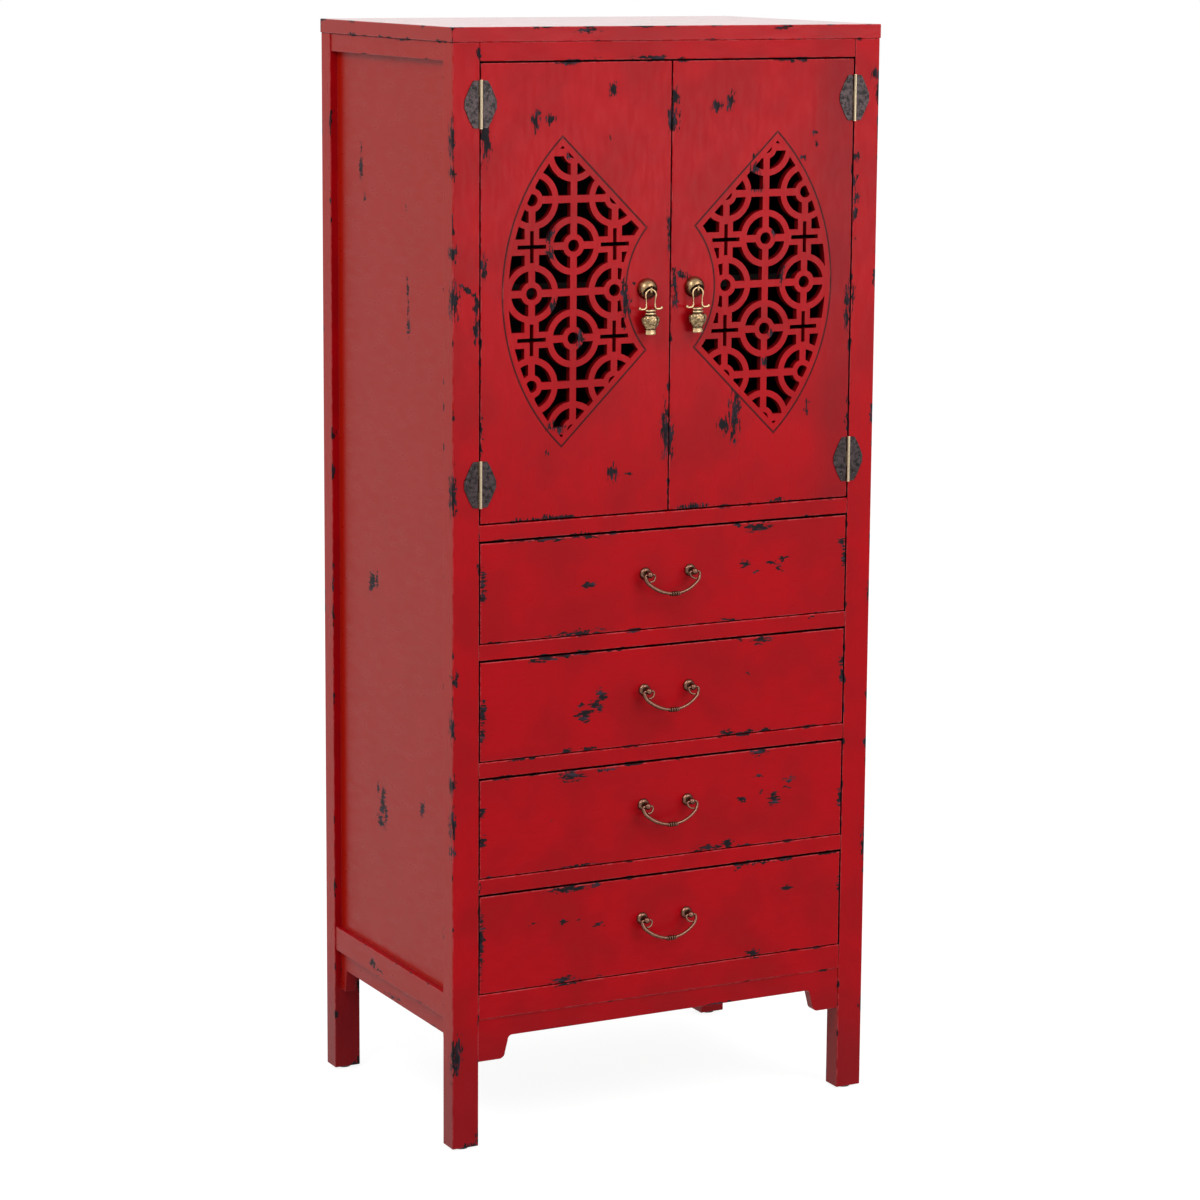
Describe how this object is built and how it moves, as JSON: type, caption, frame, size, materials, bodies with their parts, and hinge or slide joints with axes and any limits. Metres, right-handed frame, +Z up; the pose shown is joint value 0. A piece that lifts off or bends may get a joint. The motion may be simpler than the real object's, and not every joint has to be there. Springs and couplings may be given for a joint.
{
  "type": "wedding cabinet",
  "caption": "Tall red lacquered Chinese wedding cabinet with pierced fan panels in its doors, drawers below and legs with a shaped apron.",
  "frame": {"origin": "on the floor, midway between the left and right ends, and midway between the back of the top board and the foremost point of the drawer handles", "axes": "+Z up from the floor, -Y the way the doors and drawers face, +X to the right of someone who faces the cabinet"},
  "size_m": [0.6, 0.4232, 1.4],
  "materials": {
    "red_lacquer": "worn red lacquer, rubbed through to black at edges and in chips, low sheen",
    "side_lacquer": "duller, browner red lacquer, rubbed and matte",
    "inner_wood": "dark stained wood, matte",
    "drawer_wood": "plain planed elm, oiled, matte",
    "dark_bronze": "dark patinated brass sheet, half gloss",
    "pale_brass": "rubbed pale brass",
    "black_iron": "blackened nail heads",
    "aged_brass": "cast brass with a dull, dark patina in its hollows",
    "dark_brass": "brown patinated brass with rubbed highlights",
    "dark_glide": "plain dark glide"
  },
  "bodies": {
    "carcase": {"top_board": "red_lacquer", "front_left_post": "red_lacquer", "front_right_post": "red_lacquer", "rear_left_post": "red_lacquer", "rear_right_post": "red_lacquer", "front_top_rail": "red_lacquer", "door_rail": "red_lacquer", "drawer_rails": "red_lacquer", "front_bottom_rail": "red_lacquer", "side_top_rails": "side_lacquer", "side_bottom_rails": "side_lacquer", "left_panel": "side_lacquer", "right_panel": "side_lacquer", "back_panel": "inner_wood", "rear_top_rail": "inner_wood", "rear_bottom_rail": "inner_wood", "front_apron": "red_lacquer", "side_aprons": "side_lacquer", "cupboard_floor": "inner_wood", "shelf": "inner_wood", "shelf_cleats": "inner_wood", "drawer_runners": "inner_wood", "drawer_guides": "inner_wood", "foot_glides": "dark_glide", "frame_hinge_leaves": "dark_bronze", "frame_hinge_nails": "black_iron", "hinge_pins": "pale_brass", "door_stop": "inner_wood"},
    "left_door": {"left_door_panel": "red_lacquer", "left_door_lattice": "red_lacquer", "left_door_hinge_leaves": "dark_bronze", "left_door_hinge_nails": "black_iron", "left_pull_dome": "aged_brass"},
    "left_pull": {"left_pull_pendant": "aged_brass"},
    "right_door": {"right_door_panel": "red_lacquer", "right_door_lattice": "red_lacquer", "right_door_hinge_leaves": "dark_bronze", "right_door_hinge_nails": "black_iron", "right_pull_dome": "aged_brass"},
    "right_pull": {"right_pull_pendant": "aged_brass"},
    "drawer_1": {"drawer_1_front": "red_lacquer", "drawer_1_box": "drawer_wood", "drawer_1_bottom": "drawer_wood", "drawer_1_handle_posts": "dark_brass"},
    "handle_1": {"drawer_1_handle": "dark_brass"},
    "drawer_2": {"drawer_2_front": "red_lacquer", "drawer_2_box": "drawer_wood", "drawer_2_bottom": "drawer_wood", "drawer_2_handle_posts": "dark_brass"},
    "handle_2": {"drawer_2_handle": "dark_brass"},
    "drawer_3": {"drawer_3_front": "red_lacquer", "drawer_3_box": "drawer_wood", "drawer_3_bottom": "drawer_wood", "drawer_3_handle_posts": "dark_brass"},
    "handle_3": {"drawer_3_handle": "dark_brass"},
    "drawer_4": {"drawer_4_front": "red_lacquer", "drawer_4_box": "drawer_wood", "drawer_4_bottom": "drawer_wood", "drawer_4_handle_posts": "dark_brass"},
    "handle_4": {"drawer_4_handle": "dark_brass"}
  },
  "joints": [
    {"name": "left_door_hinge", "type": "hinge", "parent": "carcase", "child": "left_door", "pos_m": [-0.26225, -0.18973, 1.077], "axis": [0, 0, -1], "range_deg": [0, 175]},
    {"name": "left_pull_swing", "type": "hinge", "parent": "left_door", "child": "left_pull", "pos_m": [-0.0333, -0.19803, 1.077], "axis": [-1, 0, 0], "range_deg": [-4, 80]},
    {"name": "right_door_hinge", "type": "hinge", "parent": "carcase", "child": "right_door", "pos_m": [0.26225, -0.18973, 1.077], "axis": [0, 0, 1], "range_deg": [0, 175]},
    {"name": "right_pull_swing", "type": "hinge", "parent": "right_door", "child": "right_pull", "pos_m": [0.0333, -0.19803, 1.077], "axis": [-1, 0, 0], "range_deg": [-4, 80]},
    {"name": "drawer_1_slide", "type": "slide", "parent": "carcase", "child": "drawer_1", "axis": [0, -1, 0], "range_m": [0, 0.27]},
    {"name": "handle_1_swing", "type": "hinge", "parent": "drawer_1", "child": "handle_1", "pos_m": [0, -0.20043, 0.7184], "axis": [-1, 0, 0], "range_deg": [0, 120]},
    {"name": "drawer_2_slide", "type": "slide", "parent": "carcase", "child": "drawer_2", "axis": [0, -1, 0], "range_m": [0, 0.27]},
    {"name": "handle_2_swing", "type": "hinge", "parent": "drawer_2", "child": "handle_2", "pos_m": [0, -0.20043, 0.5694], "axis": [-1, 0, 0], "range_deg": [0, 120]},
    {"name": "drawer_3_slide", "type": "slide", "parent": "carcase", "child": "drawer_3", "axis": [0, -1, 0], "range_m": [0, 0.27]},
    {"name": "handle_3_swing", "type": "hinge", "parent": "drawer_3", "child": "handle_3", "pos_m": [0, -0.20043, 0.4204], "axis": [-1, 0, 0], "range_deg": [0, 120]},
    {"name": "drawer_4_slide", "type": "slide", "parent": "carcase", "child": "drawer_4", "axis": [0, -1, 0], "range_m": [0, 0.27]},
    {"name": "handle_4_swing", "type": "hinge", "parent": "drawer_4", "child": "handle_4", "pos_m": [0, -0.20043, 0.2714], "axis": [-1, 0, 0], "range_deg": [0, 120]}
  ]
}
